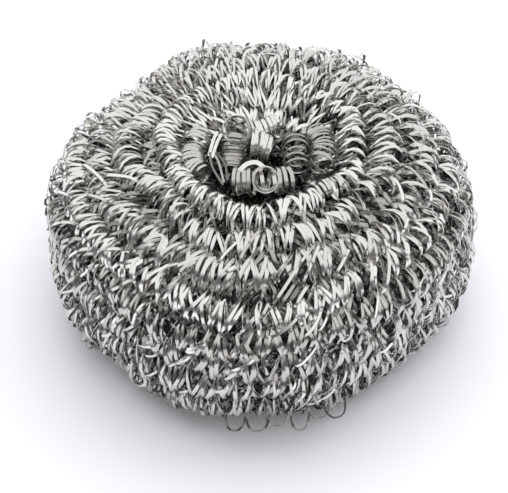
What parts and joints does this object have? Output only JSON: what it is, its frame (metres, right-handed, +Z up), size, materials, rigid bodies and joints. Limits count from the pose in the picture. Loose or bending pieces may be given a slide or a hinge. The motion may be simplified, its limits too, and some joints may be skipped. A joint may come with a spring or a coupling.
{
  "type": "pot scrubber",
  "caption": "Round steel pot scrubber: a sleeve of flat ribbon knitted in ridged courses, turned in on itself and drawn together at a nest of loose curls on top.",
  "frame": {"origin": "on the table under the middle of the scrubber", "axes": "+Z up through the nest of curls, -Y towards the side that the picture shows in front"},
  "size_m": [0.087, 0.087, 0.0464],
  "materials": {
    "steel_ribbon": "bright drawn stainless ribbon"
  },
  "bodies": {
    "root": {"knitted_sleeve": "steel_ribbon"}
  },
  "joints": []
}
